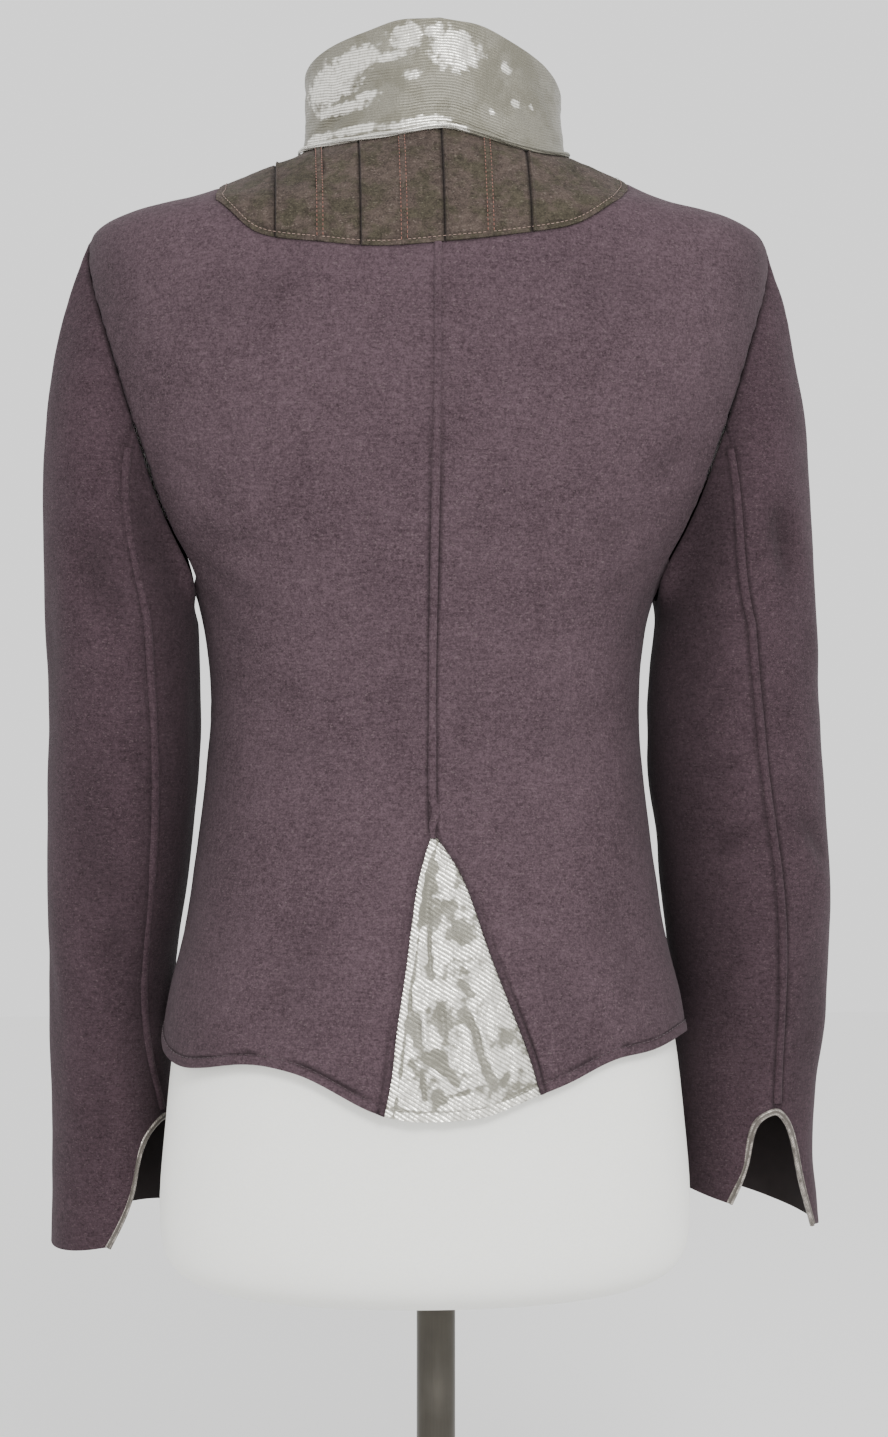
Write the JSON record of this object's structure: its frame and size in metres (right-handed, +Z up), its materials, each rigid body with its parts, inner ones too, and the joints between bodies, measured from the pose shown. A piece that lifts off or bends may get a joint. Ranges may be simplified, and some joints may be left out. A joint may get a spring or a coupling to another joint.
{
  "type": "blazer on a dress form",
  "caption": "Fitted felted-wool blazer with tall stand collar, back yoke, bell hem with back godet and bound cuff vents, on a limbless dress form with pole and base.",
  "frame": {"origin": "on the floor under the stand's round base, in the dress form's plane of symmetry", "axes": "+Z up, the garment's front faces -Y, its back +Y, the wearer's left is +X"},
  "size_m": [0.4927, 0.3, 1.0611],
  "materials": {
    "wool": "plum felted wool, matt",
    "yoke_wool": "grey-brown speckled wool, matt",
    "lame": "silver lame, fine ribs, sheen",
    "button": "plain dark resin",
    "form_cover": "white jersey cover over the form",
    "steel": "brushed"
  },
  "bodies": {
    "root": {"back_left": "wool", "back_right": "wool", "front_left": "wool", "front_right": "wool", "sleeve_upper_left": "wool", "sleeve_upper_right": "wool", "sleeve_under_left": "wool", "sleeve_under_right": "wool", "back_seam_welt": "wool", "sleeve_seam_left": "wool", "sleeve_seam_right": "wool", "back_yoke": "yoke_wool", "godet": "lame", "collar": "lame", "collar_roll": "lame", "cuff_binding_left": "lame", "cuff_binding_right": "lame", "button_1": "button", "button_2": "button", "button_3": "button", "button_4": "button", "button_5": "button", "dress_form": "form_cover", "stand_pole": "steel", "stand_base": "steel"}
  },
  "joints": []
}
